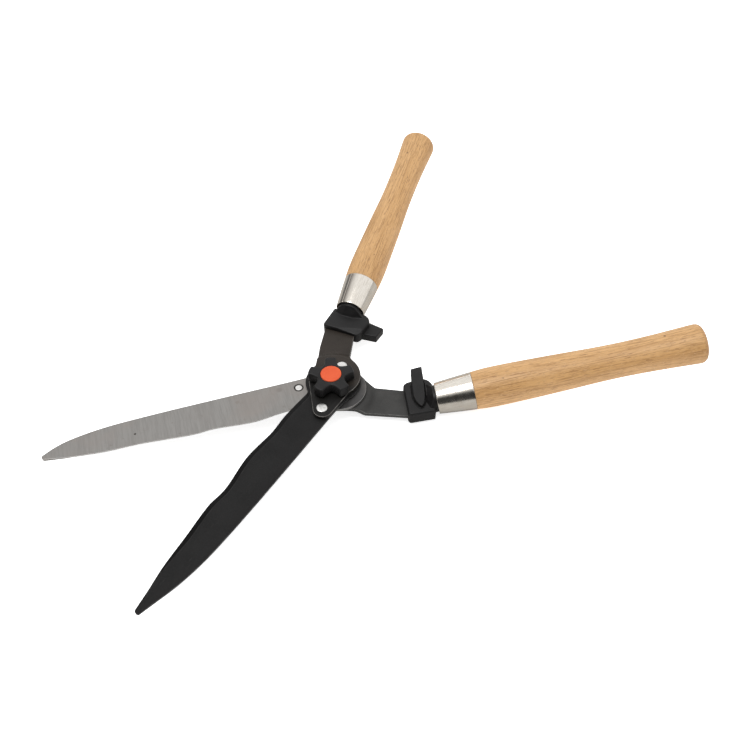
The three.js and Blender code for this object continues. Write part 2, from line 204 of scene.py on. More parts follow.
def rounded_levels(outline, low, high, radius, steps=3):
    """Loops and wear tags of a plate whose rims are rounded by the radius."""
    angles = [math.pi / 2 * k / steps for k in range(steps + 1)]
    loops = [level(inset(outline, radius * (1 - math.sin(a))), low + radius * (1 - math.cos(a))) for a in angles]
    loops += [level(inset(outline, radius * (1 - math.cos(a))), high - radius * (1 - math.sin(a))) for a in angles]
    return loops, [(0.5 + 0.5 * math.sin(2 * a), 0) for a in angles] * 2


def circle(radius, segments, x=0.0, y=0.0):
    angles = [2 * math.pi * k / segments for k in range(segments)]
    return [(x + radius * math.cos(a), y + radius * math.sin(a)) for a in angles]


def lathe(bm, profile, segments, x=0.0, y=0.0, closed=False, tags=None):
    """Loops of a solid of revolution about Z. The profile is (radius, height) pairs."""
    loops = [level(circle(r, segments, x, y), z) for r, z in profile]
    return loft(bm, loops, tags, closed)


def new_mesh():
    bm = bmesh.new()
    bm.verts.layers.float.new("wear_and_highlight")
    bm.verts.layers.float.new("ground")
    return bm


def to_object(bm, name):
    """A linked object from the bmesh, with its faces turned outwards."""
    bmesh.ops.recalc_face_normals(bm, faces=bm.faces[:])
    bm.normal_update()
    mesh = bpy.data.meshes.new(name)
    bm.to_mesh(mesh)
    bm.free()
    obj = bpy.data.objects.new(name, mesh)
    bpy.context.scene.collection.objects.link(obj)
    return obj


def shade(obj, degrees):
    """Shades smoothly across edges whose faces meet at less than the angle."""
    mesh = obj.data
    mesh.polygons.foreach_set("use_smooth", [True] * len(mesh.polygons))
    bm = bmesh.new()
    bm.from_mesh(mesh)
    for edge in bm.edges:
        edge.smooth = len(edge.link_faces) == 2 and edge.calc_face_angle(0) < math.radians(degrees)
    bm.to_mesh(mesh)
    bm.free()


def modify(obj, kind, **settings):
    """Adds a modifier and applies it to the object's mesh."""
    modifier = obj.modifiers.new(kind.lower(), kind)
    for key, value in settings.items():
        setattr(modifier, key, value)
    bpy.context.view_layer.update()
    graph = bpy.context.evaluated_depsgraph_get()
    mesh = bpy.data.meshes.new_from_object(obj.evaluated_get(graph))
    obj.modifiers.clear()
    old = obj.data
    obj.data = mesh
    bpy.data.meshes.remove(old)


def cut(obj, tool):
    modify(obj, "BOOLEAN", operation="DIFFERENCE", solver="EXACT", object=tool)
    bpy.data.objects.remove(tool)


def join(obj, other):
    modify(obj, "BOOLEAN", operation="UNION", solver="EXACT", object=other)
    bpy.data.objects.remove(other)


def turned_tool(x, y, profile):
    """A turned piece about a vertical axis, to cut or to join with."""
    bm = new_mesh()
    lathe(bm, profile, 48, x, y)
    return to_object(bm, "tool")


# ---- placing: each half is drawn in its own frame and turned about the pivot ----

def half_name(upper):
    return "upper" if upper else "lower"


def flange_base(upper):
    return UPPER_FLANGE if upper else LOWER_FLANGE


def mating_face(upper):
    """Height of the blade's flat face, and the direction away from it along Z."""
    return (UPPER_BLADE, 1) if upper else (MATING_PLANE, -1)


def shank_middle(upper):
    return flange_base(upper) + ARM_THICK / 2 - STEP_DOWN


def handle_frame(upper):
    """Matrix whose X axis is the handle's axis, in the half's frame, in metres."""
    low = shank_middle(upper) + FERRULE_LIFT
    end = UPPER_HANDLE_END if upper else LOWER_HANDLE_END
    start = Vector((*FERRULE_START, low))
    axis = (Vector((*end, low + HANDLE_RISE)) - start).normalized()
    side = Vector((0, 0, 1)).cross(axis).normalized()
    up = axis.cross(side)
    basis = Matrix((axis, side, up)).transposed().to_4x4()
    return Matrix.Translation(start * MM) @ basis


MIRROR = Matrix.Diagonal((1, -1, 1, 1))


def place(obj, upper, local=None):
    """Puts a piece drawn in a half's frame where that half is. The upper half is the mirror image."""
    local = local or Matrix.Identity(4)
    if upper:
        obj.data.transform(MIRROR)
        obj.data.flip_normals()
        local = MIRROR @ local @ MIRROR
    turn = HALF_OPENING if upper else -HALF_OPENING
    obj.matrix_world = Matrix.Rotation(turn, 4, "Z") @ local


def settle(obj, body, material, node):
    """Names what the piece rides on, what it stands for and its finish."""
    obj.data.materials.clear()
    obj.data.materials.append(material)
    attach(obj, body)
    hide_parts(node)


# ---- node helpers ----

class Look:
    """A procedural material built round one principled shader."""

    def __init__(self, name, color, roughness, metallic=0.0, **sockets):
        self.material = bpy.data.materials.new(name)
        self.material.use_nodes = True
        self.tree = self.material.node_tree
        self.shader = self.tree.nodes["Principled BSDF"]
        self.shader.inputs["Base Color"].default_value = (*color, 1)
        self.shader.inputs["Roughness"].default_value = roughness
        self.shader.inputs["Metallic"].default_value = metallic
        for key, value in sockets.items():
            self.shader.inputs[key.replace("_", " ")].default_value = value
        self.coords = self.tree.nodes.new("ShaderNodeTexCoord").outputs["Object"]
        self.height = None

    def put(self, socket, value):
        if isinstance(value, bpy.types.NodeSocket):
            self.tree.links.new(value, socket)
        else:
            socket.default_value = value

    def noise(self, scale, detail=4.0, rough=0.55, distortion=0.0, shift=(0, 0, 0)):
        """Noise whose features are stretched by the three scales, in cycles per metre."""
        mapping = self.tree.nodes.new("ShaderNodeMapping")
        mapping.inputs["Scale"].default_value = scale
        mapping.inputs["Location"].default_value = shift
        self.tree.links.new(self.coords, mapping.inputs["Vector"])
        node = self.tree.nodes.new("ShaderNodeTexNoise")
        node.inputs["Scale"].default_value = 1.0
        node.inputs["Detail"].default_value = detail
        node.inputs["Roughness"].default_value = rough
        node.inputs["Distortion"].default_value = distortion
        self.tree.links.new(mapping.outputs["Vector"], node.inputs["Vector"])
        return node.outputs["Fac"]

    def ramp(self, value, low, high, start=0.0, end=1.0):
        """Maps low..high of a value to start..end, clamped and eased."""
        node = self.tree.nodes.new("ShaderNodeMapRange")
        node.interpolation_type = "SMOOTHSTEP"
        for socket, number in zip(node.inputs[1:5], (low, high, start, end)):
            socket.default_value = number
        self.put(node.inputs["Value"], value)
        return node.outputs["Result"]

    def math(self, operation, a, b):
        node = self.tree.nodes.new("ShaderNodeMath")
        node.operation = operation
        self.put(node.inputs[0], a)
        self.put(node.inputs[1], b)
        return node.outputs["Value"]

    def mix(self, factor, a, b):
        """Colour a at factor 0, b at 1. Each colour is a tuple or a socket."""
        node = self.tree.nodes.new("ShaderNodeMix")
        node.data_type = "RGBA"
        self.put(node.inputs["Factor"], factor)
        for socket, colour in zip((node.inputs[6], node.inputs[7]), (a, b)):
            self.put(socket, (*colour, 1) if isinstance(colour, tuple) else colour)
        return node.outputs[2]

    def attribute(self, name):
        node = self.tree.nodes.new("ShaderNodeAttribute")
        node.attribute_name = name
        return node.outputs["Fac"]

    def spot(self, x, y, z, radius):
        """1 at a point in the piece's own frame, falling to 0 at the radius."""
        node = self.tree.nodes.new("ShaderNodeVectorMath")
        node.operation = "DISTANCE"
        self.tree.links.new(self.coords, node.inputs[0])
        node.inputs[1].default_value = (x * MM, y * MM, z * MM)
        return self.ramp(node.outputs["Value"], radius * MM * 0.4, radius * MM, 1, 0)

    def along(self, axis, low, high, start=0.0, end=1.0):
        """Goes from start to end between two places along an axis of the piece's own frame."""
        node = self.tree.nodes.new("ShaderNodeSeparateXYZ")
        self.tree.links.new(self.coords, node.inputs["Vector"])
        return self.ramp(node.outputs[axis], low * MM, high * MM, start, end)

    def color(self, value):
        self.put(self.shader.inputs["Base Color"], value)

    def roughness(self, value):
        self.put(self.shader.inputs["Roughness"], value)

    def bump(self, height, strength, distance):
        node = self.tree.nodes.new("ShaderNodeBump")
        node.inputs["Strength"].default_value = strength
        node.inputs["Distance"].default_value = distance * MM
        self.put(node.inputs["Height"], height)
        if self.height is not None:
            self.tree.links.new(self.height, node.inputs["Normal"])
        self.height = node.outputs["Normal"]
        self.tree.links.new(self.height, self.shader.inputs["Normal"])


# ---- materials ----

def ground_steel():
    """Bare blade steel, ground across its width."""
    look = Look("ground_steel", (0.30, 0.29, 0.28), 0.42, 0.85)
    fine = look.noise((2600, 90, 90), detail=2.0)
    coarse = look.noise((620, 26, 26), detail=3.0, distortion=0.6)
    cloud = look.noise((34, 60, 60), detail=3.0)
    lines = look.math("MULTIPLY", look.ramp(fine, 0.3, 0.7), 0.5)
    lines = look.math("ADD", lines, look.math("MULTIPLY", look.ramp(coarse, 0.3, 0.7), 0.5))
    tone = look.mix(look.ramp(lines, 0.15, 0.85), (0.226, 0.218, 0.208), (0.272, 0.264, 0.252))
    tone = look.mix(look.ramp(cloud, 0.42, 0.75, 0, 0.35), tone, (0.232, 0.217, 0.203))
    stain_and_painted_reflection = look.noise((160, 160, 160), detail=4.0, shift=(3, 5, 1))
    tone = look.mix(look.ramp(stain_and_painted_reflection, 0.62, 0.74, 0, 0.55), tone, (0.18, 0.162, 0.146))
    tone = look.mix(look.spot(-167.7, 1.9, 10.8, 1.3), tone, (0.05, 0.045, 0.04))
    tone = look.mix(look.math("MULTIPLY", look.spot(-44, 11.5, 10.8, 3.4), 0.6), tone, (0.16, 0.15, 0.14))
    # Painted shade: the blade's heel, from about x = -6 mm towards the pivot, is darkened as if shaded under the
    # arms.
    tone = look.mix(look.along(0, -6.0, 1.0), tone, (0.075, 0.073, 0.072))
    tone = look.mix(look.ramp(look.attribute("wear_and_highlight"), 0.55, 0.95, 0, 0.5), tone, (0.46, 0.45, 0.44))
    warm = look.noise((22, 30, 30), detail=3.0, shift=(5, 1, 4))
    tone = look.mix(look.ramp(warm, 0.45, 0.7, 0, 0.5), tone, (0.275, 0.243, 0.222))
    look.color(tone)
    look.roughness(look.ramp(lines, 0, 1, 0.36, 0.52))
    look.bump(lines, 0.22, 0.05)
    return look.material


def coated_steel(name, dark, light, worn_and_highlight, mottle, gloss, rough=0.44, scratches=0.4, edge_wear=0.75, painted_nose_shade=None):
    """Satin coating on steel, thin at its edges, with a few fine scratches. The ground bevel takes the dark colour,
    partly as its finish and partly as painted shade. The painted nose shade fades in towards -X.
    """
    look = Look(name, light, rough, 0.0, Specular_IOR_Level=gloss)
    cloud = look.noise((45, 45, 45), detail=4.0)
    grain = look.noise((1500, 1500, 1500), detail=2.0)
    tone = look.mix(look.ramp(cloud, 0.35, 0.7, 0, mottle), light, dark)
    tone = look.mix(look.ramp(grain, 0.4, 0.75, 0, 0.06), tone, worn_and_highlight)
    scratch = look.noise((60, 1900, 900), detail=1.0, distortion=0.35, shift=(1, 2, 3))
    faint = look.math("MULTIPLY", look.ramp(scratch, 0.73, 0.78), look.ramp(cloud, 0.5, 0.66))
    tone = look.mix(look.math("MULTIPLY", faint, scratches), tone, worn_and_highlight)
    # On the black blade the ground bevel takes the dark colour: partly its ground finish, partly painted shade where
    # the bevel faces away from the light.
    tone = look.mix(look.attribute("ground"), tone, dark)
    # Painted shade: the flange's nose round the knob and front rivet is darkened as if in the knob's shadow.
    if painted_nose_shade:
        tone = look.mix(look.along(0, -2, 14, 1, 0), tone, painted_nose_shade)
    patchy = look.noise((120, 120, 120), detail=5.0, rough=0.7)
    rims = look.ramp(look.attribute("wear_and_highlight"), 0.6, 0.98)
    edge = look.math("MULTIPLY", rims, look.ramp(patchy, 0.35, 0.6, 0.25, 1))
    tone = look.mix(look.math("MULTIPLY", edge, edge_wear), tone, worn_and_highlight)
    look.color(tone)
    look.roughness(look.ramp(cloud, 0.3, 0.7, rough - 0.06, rough + 0.08))
    look.bump(grain, 0.14, 0.05)
    look.bump(look.noise((260, 260, 260), detail=2.0), 0.1, 0.2)
    return look.material


def wood():
    """Turned beech under thin varnish: fibres and short pores along the grain."""
    look = Look("beech_wood", (0.50, 0.29, 0.13), 0.45, 0.0, Specular_IOR_Level=0.35, Coat_Weight=0.1,
                Coat_Roughness=0.3)
    figure = look.noise((7, 75, 75), detail=4.0, distortion=0.9)
    fibre = look.noise((26, 900, 900), detail=3.0, rough=0.6)
    pores = look.noise((150, 2000, 2000), detail=1.0)
    fleck = look.noise((420, 1300, 1300), detail=1.0, shift=(9, 4, 2))
    cloud = look.noise((12, 22, 22), detail=2.0, shift=(4, 8, 1))
    tone = look.mix(look.ramp(figure, 0.35, 0.68), (0.66, 0.395, 0.175), (0.51, 0.285, 0.112))
    tone = look.mix(look.ramp(cloud, 0.4, 0.72, 0, 0.5), tone, (0.57, 0.325, 0.132))
    tone = look.mix(look.ramp(fibre, 0.45, 0.66, 0, 0.75), tone, (0.36, 0.19, 0.068))
    tone = look.mix(look.ramp(pores, 0.58, 0.68, 0, 0.7), tone, (0.26, 0.13, 0.052))
    tone = look.mix(look.ramp(fleck, 0.6, 0.7, 0, 0.5), tone, (0.64, 0.41, 0.215))
    for x, y, z, size, depth in ((196, 3, 15.3, 1.5, 0.8), (150, 9, 11.5, 1.0, 0.6), (58, -6, 15.6, 1.2, 0.5)):
        tone = look.mix(look.math("MULTIPLY", look.spot(x, y, z, size), depth), tone, (0.14, 0.07, 0.03))
    end_grain = look.math("MULTIPLY", look.attribute("ground"), 0.65)
    tone = look.mix(end_grain, tone, (0.33, 0.17, 0.07))
    look.color(tone)
    look.roughness(look.ramp(fibre, 0.3, 0.7, 0.38, 0.56))
    look.bump(fibre, 0.22, 0.08)
    look.bump(pores, -0.25, 0.12)
    return look.material


def nickel():
    """Thin warm nickel plate, drawn lengthwise, with handling marks, a dark seam line and a painted dark reflection
    on the upper ferrule.
    """
    look = Look("nickel_plate", (0.82, 0.77, 0.71), 0.2, 1.0)
    drawn = look.noise((18, 1500, 1500), detail=3.0)
    cloud = look.noise((70, 70, 70), detail=4.0)
    tone = look.mix(look.ramp(drawn, 0.35, 0.7), (0.74, 0.70, 0.64), (0.64, 0.595, 0.53))
    tone = look.mix(look.ramp(cloud, 0.55, 0.78, 0, 0.4), tone, (0.52, 0.47, 0.41))
    # The ground attribute darkens the lapped seam and, on the upper ferrule, a band along its top that is a painted
    # dark reflection.
    tone = look.mix(look.attribute("ground"), tone, (0.16, 0.13, 0.11))
    look.color(tone)
    look.roughness(look.ramp(cloud, 0.3, 0.75, 0.13, 0.24))
    look.bump(drawn, 0.05, 0.03)
    look.bump(look.noise((30, 110, 110), detail=1.0), 0.12, 0.25)
    return look.material


def plastic(name, color, light, rough):
    """Moulded plastic with a fine spark-eroded texture and slight handling shine."""
    look = Look(name, color, rough, 0.0, Specular_IOR_Level=0.25)
    grain = look.noise((1700, 1700, 1700), detail=2.0)
    cloud = look.noise((80, 80, 80), detail=3.0)
    tone = look.mix(look.ramp(cloud, 0.35, 0.7, 0, 0.6), color, light)
    tone = look.mix(look.ramp(grain, 0.45, 0.8, 0, 0.3), tone, light)
    look.color(tone)
    look.roughness(look.ramp(cloud, 0.3, 0.7, rough - 0.07, rough + 0.07))
    look.bump(grain, 0.22, 0.05)
    return look.material


def bright_steel():
    """Zinc-bright fasteners, slightly mottled, with painted shade in the rivets' recesses."""
    look = Look("bright_steel", (0.72, 0.71, 0.69), 0.32, 0.9)
    cloud = look.noise((420, 420, 420), detail=4.0)
    fine = look.noise((2400, 2400, 2400), detail=2.0)
    tone = look.mix(look.ramp(cloud, 0.35, 0.7), (0.76, 0.75, 0.735), (0.56, 0.55, 0.53))
    # Painted shade: the rivets' recess walls, tagged by the ground attribute, are painted near black.
    tone = look.mix(look.attribute("ground"), tone, (0.05, 0.045, 0.04))
    look.color(tone)
    look.roughness(look.ramp(cloud, 0.3, 0.7, 0.26, 0.44))
    look.bump(fine, 0.12, 0.04)
    look.bump(cloud, 0.2, 0.12)
    return look.material


GROUND_STEEL = ground_steel()
BLACK_BLADE = coated_steel("black_blade_steel", (0.0012, 0.0011, 0.0011), (0.0125, 0.0122, 0.0122),
                           (0.10, 0.098, 0.095), mottle=0.25, gloss=0.11, rough=0.42, scratches=0.25, edge_wear=0.55)
GREY_ARM = coated_steel("grey_arm_steel", (0.026, 0.0255, 0.0247), (0.047, 0.0457, 0.0437), (0.19, 0.185, 0.18),
                        mottle=0.7, gloss=0.2)
BROWN_ARM = coated_steel("brown_arm_steel", (0.018, 0.0148, 0.0122), (0.031, 0.0245, 0.0198), (0.17, 0.16, 0.15),
                         mottle=0.5, gloss=0.17, edge_wear=0.95, painted_nose_shade=(0.008, 0.0075, 0.007))
BRIGHT_STEEL = bright_steel()
NICKEL = nickel()
WOOD = wood()
BLACK_PLASTIC = plastic("black_plastic", (0.007, 0.0066, 0.0068), (0.014, 0.0132, 0.0135), 0.46)
ORANGE_PLASTIC = plastic("orange_plastic", (0.66, 0.088, 0.027), (0.72, 0.115, 0.038), 0.42)


# ---- blades ----

def blade_outline(spine, edge):
    """Anticlockwise outline, with how wide the cutting bevel is at each point."""
    x, y, radius = HEEL
    start = math.atan2(spine[0][1] - y, spine[0][0] - x)
    end = math.atan2(edge[0][1] - y, edge[0][0] - x)
    heel = arc(x, y, radius, start, end, 70)[1:-1]
    cutting = catmull_rom(edge, 150)
    tip = arc(*TIP, TIP_RADIUS, math.radians(-104), math.radians(-218), 10)
    back = catmull_rom(spine, 110)[::-1]
    outline = heel + cutting + tip + back
    widths = [0.0] * len(heel)
    for px, _ in cutting:
        room = min(1.0, (px - TIP[0]) / 60) * min(1.0, (edge[0][0] - px) / 5)
        widths.append(BEVEL_WIDTH * max(0.0, room))
    widths += [0.0] * (len(tip) + len(back))
    return outline[::-1], widths[::-1]


def square_outline(half):
    return [(-half, -half), (half, -half), (half, half), (-half, half)]


def outer_face(upper):
    """Height of the flange's outer face, and the direction away from the blades."""
    return (UPPER_FLANGE + ARM_THICK, 1) if upper else (LOWER_FLANGE, -1)


def cut_pivot_hole(obj):
    cut(obj, turned_tool(0, 0, [(PIVOT_HOLE, 0), (PIVOT_HOLE, 30)]))


def cut_rivet_holes(obj, face, away, steps):
    """Cuts both rivets' holes. The steps are radii and distances from the face."""
    profile = sorted([(radius, face + away * reach) for radius, reach in steps], key=lambda p: p[1])
    for x, y in (FRONT_RIVET, REAR_RIVET):
        cut(obj, turned_tool(x, y, profile))


def bevelled(outline, widths, share):
    return [(x, y + w * share) for (x, y), w in zip(outline, widths)]


# How far across the bevel each loop is, and how far it has risen.
BEVEL_STEPS = ((0.02, 0.10), (0.2, 0.34), (0.45, 0.60), (0.75, 0.83), (0.97, 0.985), (1.0, 1.0))


def make_blade(name, spine, edge, upper, material):
    """Flat on the mating face, hollow-ground to the cutting edge on the other, rounded elsewhere."""
    outline, widths = blade_outline(spine, edge)
    ground = [min(1.0, w / 1.5) for w in widths]
    soft = [0.45 * (1 - g) for g in ground]
    shapes = [
        (inset(outline, 0.8), 0.0, 0.2), (inset(outline, 0.25), 0.0, 0.75), (inset(outline, 0.07), 0.07, 0.9),
        (outline, 0.25, 1.0),
    ]
    rim = [BLADE_THICK - 0.45 - (BLADE_THICK - 0.9) * g for g in ground]
    shapes.append((outline, rim, 1.0))
    for share, rise in BEVEL_STEPS:
        turn = min(1.0, share * 1.02) * math.pi / 2
        curve, eased = 1 - math.cos(turn), math.sin(turn)
        pulled = inset(bevelled(outline, widths, share), [s * curve for s in soft])
        heights = [r + (BLADE_THICK - r) * (rise * g + eased * (1 - g)) for r, g in zip(rim, ground)]
        shapes.append((pulled, heights, None))
    shapes.append((inset(shapes[-1][0], 0.7), BLADE_THICK, 0.2))
    face, away = mating_face(upper)
    loops, tags = [], []
    for k, (points, z, wear_and_highlight) in enumerate(shapes):
        heights = z if isinstance(z, list) else [z] * len(points)
        heights = [face + away * h for h in heights]
        loops.append(level(points, heights))
        row = []
        shoulder_loop = k == len(shapes) - 2
        for g in ground:
            fading = 0.8 - 0.12 * k * (1 - g) - 0.5 * g
            # On the bevel's shoulder the value 0.9 paints a thin light line along the ridge as a painted highlight;
            # elsewhere the values mark rubbed rims.
            worn_and_highlight = wear_and_highlight if wear_and_highlight is not None else (0.9 if shoulder_loop and g > 0.5 else fading)
            row.append((worn_and_highlight, 0.0 if shoulder_loop or wear_and_highlight is not None else g))
        tags.append(row)
    bm = new_mesh()
    loft(bm, loops, tags)
    obj = to_object(bm, name)
    cut_pivot_hole(obj)
    cut_rivet_holes(obj, face, away, [(4.4, -1.0), (4.3, 0.15), (RIVET_HOLE, 1.6), (RIVET_HOLE, 9)])
    shade(obj, 30)
    place(obj, upper)
    half = half_name(upper)
    settle(obj, f"{half}_half", material, f"{half}_blade")


# ---- arms ----

def arm_outline(grow=0.0, upper=False):
    """Flange and shank. The upper flange is narrower at its outer edge."""
    def inner(x):
        return -6.7 - 0.47 * (x - 40) + grow

    def outer(x):
        return -38.2 - 0.415 * (x - 40) - grow

    end = SHANK_END + grow
    points = arc(*NOSE, math.pi / 2, 3.95, 30)
    corner = (-9.5, -17)
    points.append(corner)
    if upper:
        points += quad_curve(corner, (-4, -20), (6, outer(6) + 2.2), 10)
        points += [(13, outer(13) + 2.1), (20, outer(20) + 1.5), (27, outer(27) + 0.6), (33, outer(33))]
    else:
        points += quad_curve(corner, (-4, -21.5), (6, outer(6)), 10)
    points += [(57, outer(57)), (end, -44 - grow), (end, inner(end)), (37.5, inner(37.5))]
    points += quad_curve((37.5, inner(37.5)), (32.6, -2.6), (31.2, 1.9), 8)
    points += arc(*FLANGE_DISC, 0.245, 1.92, 44)[1:]
    return resample(points, 1.6)


def step_bend(bm, base):
    """Steps the plate down outside the heel, as a smooth double bend."""
    axes = (((1, 0, 0), 8, 44, 1.2), ((0, 1, 0), -40, 16, 1.4))
    for normal, start, end, spacing in axes:
        for k in range(round((end - start) / spacing) + 1):
            plane = Vector(normal) * (start + k * spacing) * MM
            geometry = bm.verts[:] + bm.edges[:] + bm.faces[:]
            bmesh.ops.bisect_plane(bm, geom=geometry, plane_co=plane, plane_no=normal)
    for v in bm.verts:
        x, y, z = v.co / MM
        if x > HEEL[0]:
            start = STEP_START + STEP_SETBACK * (z - base) / ARM_THICK
            t = (math.hypot(x - HEEL[0], y - HEEL[1]) - start) / (STEP_END - STEP_START)
            t = min(1.0, max(0.0, t))
            v.co.z -= STEP_DOWN * MM * t * t * (3 - 2 * t)


def make_arm(upper, material):
    """Flange, stepped shank and the tang that runs into the handle."""
    half = half_name(upper)
    base = flange_base(upper)
    bm = new_mesh()
    loops, tags = rounded_levels(arm_outline(upper=upper), base, base + ARM_THICK, 0.7)
    loft(bm, loops, tags)
    step_bend(bm, base)
    obj = to_object(bm, f"{half}_arm_forging")
    bm = new_mesh()
    tang = resample([(-24, -5.5), (68, -5.5), (82, -2), (82, 2), (68, 5.5), (-24, 5.5)], 8)
    loops, tags = rounded_levels(tang, -ARM_THICK / 2, ARM_THICK / 2, 0.5, steps=2)
    loft(bm, loops, tags)
    bar = to_object(bm, "tang")
    bar.matrix_world = handle_frame(upper)
    join(obj, bar)
    if upper:
        cut_pivot_hole(obj)
    else:
        neck = new_mesh()
        loft(neck, [level(square_outline(SQUARE_HOLE), z) for z in (0, 10)])
        cut(obj, to_object(neck, "tool"))
    outer, away = outer_face(upper)
    cut_rivet_holes(obj, outer, away, [(RIVET_HOLE, -5), (RIVET_HOLE, -1.6), (4.9, -0.25), (5.05, 1)])
    shade(obj, 30)
    place(obj, upper)
    settle(obj, f"{half}_half", material, f"{half}_arm")


# ---- rivets, bolt, washers ----

def make_rivet(name, centre, upper, phase):
    """Countersunk at the mating face, in a recess painted dark as shade, with a low hammered crown on the flange."""
    flush, away = mating_face(upper)
    outer, _ = outer_face(upper)
    sunk = [(0.3, 0.02), (2.6, 0.04), (2.85, 0.1), (2.9, 0.25), (3.0, 0.55), (4.0, 0.55), (2.6, 1.5)]
    crown = [(2.6, -1.5), (4.6, -0.2), (4.66, 0.05), (4.5, 0.25), (3.9, 0.42), (2.8, 0.5), (1.4, 0.52), (0.3, 0.53)]
    profile = [(r, flush + away * h) for r, h in sunk] + [(r, outer + away * h) for r, h in crown]
    # Painted shade: the recess walls round the countersink are tagged to be painted near black.
    dark = [(0.0, 1.0 if 3 <= k <= 7 else 0.0) for k in range(len(profile))]
    bm = new_mesh()
    lathe(bm, profile, 56, tags=dark)
    for v in bm.verts:
        angle = math.atan2(v.co.y, v.co.x)
        v.co.z += 0.03 * MM * math.sin(3 * angle + phase) * min(1, v.co.to_2d().length / (3 * MM))
    obj = to_object(bm, name)
    obj.data.transform(Matrix.Translation((centre[0] * MM, centre[1] * MM, 0)))
    shade(obj, 40)
    place(obj, upper)
    half = half_name(upper)
    which = "front" if centre == FRONT_RIVET else "rear"
    settle(obj, f"{half}_half", BRIGHT_STEEL, f"{half}_{which}_rivet")


def make_bolt():
    """Carriage bolt: low domed head below, square neck in the lower arm, threaded end in the nut."""
    bm = new_mesh()
    lathe(bm, [(0.5, 0.0), (6.6, 0.0), (7.4, 0.1), (9.0, 0.7), (10.2, 1.7), (10.85, 2.8), (11.0, 3.5),
               (10.8, 3.85), (10.4, 4.0), (4.4, 4.0)], 72)
    obj = to_object(bm, "pivot_bolt_turned")
    neck = new_mesh()
    square = resample(square_outline(4), 2)
    loft(neck, [level(square, 3.4), level(square, 7.5), level(inset(square, 0.5), 7.9)])
    join(obj, to_object(neck, "neck"))
    profile = [(BOLT_RADIUS, 7.0), (BOLT_RADIUS, 18.0)]
    z = 18.4
    while z < 25.6:
        profile += [(THREAD_ROOT, z), (BOLT_RADIUS, z + 0.55)]
        z += THREAD_PITCH
    profile += [(3.4, 26.2), (3.0, 26.8)]
    join(obj, turned_tool(0, 0, profile))
    shade(obj, 32)
    place(obj, False)
    settle(obj, "lower_half", BRIGHT_STEEL, "pivot_bolt")


def make_flat_washer():
    outer, inner, low = 10.4, PIVOT_HOLE, FLAT_WASHER
    profile = [(inner, low + 0.2), (inner + 0.2, low), (outer - 0.3, low), (outer, low + 0.25),
               (outer, low + 0.95), (outer - 0.25, low + 1.2), (inner + 0.2, low + 1.2), (inner, low + 1.0)]
    bm = new_mesh()
    lathe(bm, profile, 96, closed=True)
    obj = to_object(bm, "flat_washer_pressed")
    shade(obj, 40)
    settle(obj, "washers", BRIGHT_STEEL, "flat_washer")


def make_spring_washer():
    """Square-section ring with a slanted split."""
    bm = new_mesh()
    section = [(4.4, 0.05), (4.5, 0), (7.4, 0), (7.6, 0.15), (7.6, 1.35), (7.4, 1.5), (4.5, 1.5), (4.4, 1.45)]
    loops = []
    for k in range(65):
        turn = math.radians(4 + 352 * (k / 64))
        slanted = [(r, z, turn + (z - 0.75) * 0.06) for r, z in section]
        loops.append([(r * math.cos(a), r * math.sin(a), KNOB_BASE + z) for r, z, a in slanted])
    loft(bm, loops)
    obj = to_object(bm, "spring_washer_coiled")
    shade(obj, 40)
    settle(obj, "washers", BRIGHT_STEEL, "spring_washer")


# ---- knob and cap ----

def star_outline(steps=14):
    """Square-ended lobes with hollow flanks, anticlockwise."""
    def at(radius, angle):
        return (radius * math.cos(angle), radius * math.sin(angle))

    points = []
    step = 2 * math.pi / 5
    tip, valley = KNOB_TIP, KNOB_VALLEY
    for lobe in range(5):
        middle = lobe * step + math.radians(KNOB_TURN)
        start = at(valley, middle - step / 2)
        points.append(start)
        points += quad_curve(start, at(13.4, middle - 0.4), at(tip - 1.7, middle - 0.28), steps)
        points += quad_curve(points[-1], at(tip + 0.2, middle - 0.255), at(tip - 0.1, middle - 0.12), 7)
        points += quad_curve(points[-1], at(tip + 0.1, middle), at(tip - 0.1, middle + 0.12), 5)
        points += quad_curve(points[-1], at(tip + 0.2, middle + 0.255), at(tip - 1.7, middle + 0.28), 7)
        points += quad_curve(points[-1], at(13.4, middle + 0.4), at(valley, middle + step / 2), steps)[:-1]
    return points


def ring_like(outline, radius):
    """A circle with one point on the same bearing as each point of the outline."""
    return [(radius * x / math.hypot(x, y), radius * y / math.hypot(x, y)) for x, y in outline]


def shrink(outline, share, radius):
    """Part of the way from the outline to a circle."""
    return [(x + (cx - x) * share, y + (cy - y) * share)
            for (x, y), (cx, cy) in zip(outline, ring_like(outline, radius))]


def make_knob():
    """Five lobes round a hub, dished slightly under the rim, with seats for the cap and the nut."""
    star = star_outline()
    low, top = KNOB_BASE, KNOB_TOP
    loops = [level(ring_like(star, 1.0), 27.2), level(ring_like(star, 7.7), 27.2),
             level(ring_like(star, 7.9), low + 0.4), level(ring_like(star, 8.2), low)]
    loops.append(level(inset(star, 1.0), low))
    for k in range(1, 4):
        a = math.pi / 2 * k / 3
        loops.append(level(inset(star, 1.0 - math.sin(a)), low + 1.0 - math.cos(a)))
    for k in range(6):
        a = math.pi / 2 * k / 5
        loops.append(level(inset(star, 0.3 + 1.5 * (1 - math.cos(a))), top - 0.3 - 1.5 * (1 - math.sin(a))))
    rim = inset(star, 1.8)
    for share, z in ((0.35, -0.2), (0.7, -0.12), (0.93, 0.0)):
        loops.append(level(shrink(rim, share, 10.2), top + z))
    seat = ((10.2, 0.05), (9.6, 0.08), (9.25, -0.02), (CAP_SEAT, -0.25), (CAP_SEAT, -1.6), (1.0, -1.6))
    for radius, z in seat:
        loops.append(level(ring_like(star, radius), top + z))
    bm = new_mesh()
    loft(bm, loops)
    obj = to_object(bm, "star_knob_moulded")
    shade(obj, 38)
    settle(obj, "knob", BLACK_PLASTIC, "star_knob")


